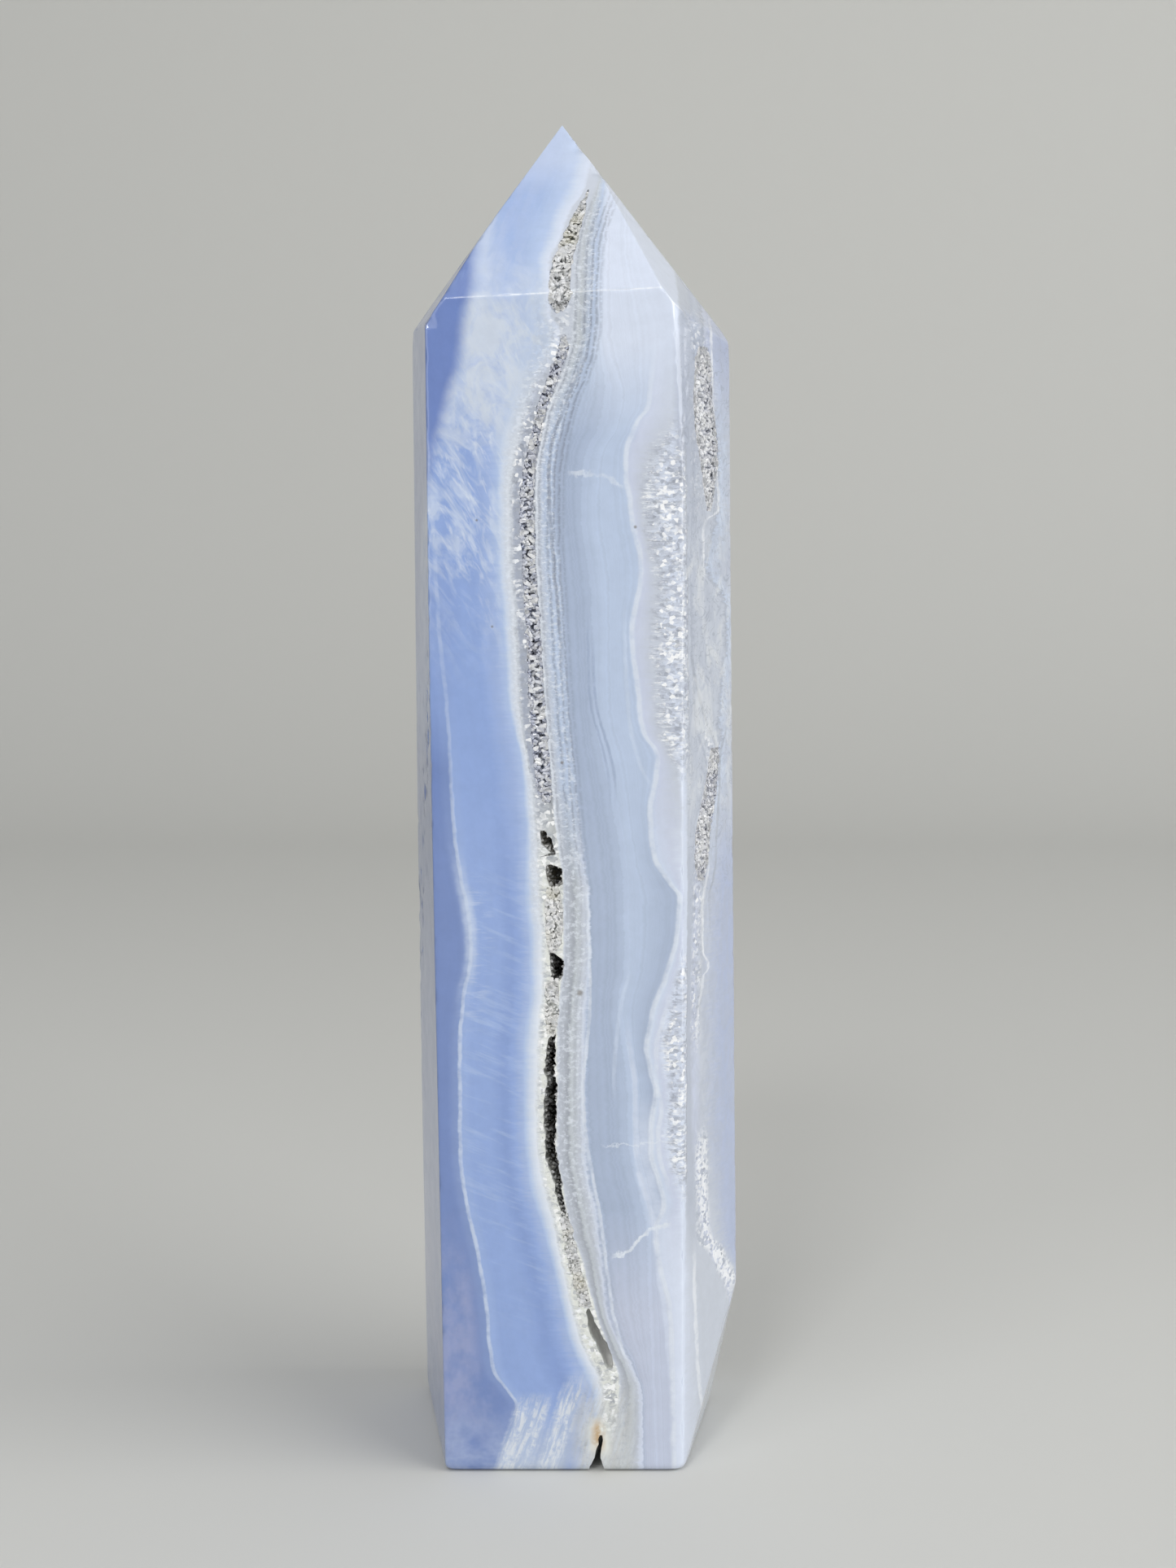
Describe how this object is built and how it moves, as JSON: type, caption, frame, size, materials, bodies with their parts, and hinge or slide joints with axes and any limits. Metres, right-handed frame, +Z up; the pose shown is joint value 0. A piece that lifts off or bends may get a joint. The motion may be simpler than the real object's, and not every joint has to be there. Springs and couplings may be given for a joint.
{
  "type": "agate tower",
  "caption": "Free-standing polished tower of banded blue agate with a faceted point and an open, crystal-lined seam down its front.",
  "frame": {"origin": "middle of the flat base, centred under the whole stone", "axes": "+Z up to the point, -Y out of the wide front face with the crystal seam, +X to that face's right as it is looked at"},
  "size_m": [0.0266, 0.024, 0.1052],
  "materials": {
    "agate": "polished",
    "quartz_crust": "glossy crystal faces"
  },
  "bodies": {
    "root": {"agate_tower": "agate", "crystals_tip_pocket": "quartz_crust", "crystals_upper_seam": "quartz_crust", "crystals_lower_fissure": "quartz_crust", "crystals_right_pocket": "quartz_crust", "crystals_right_seam": "quartz_crust"}
  },
  "joints": []
}
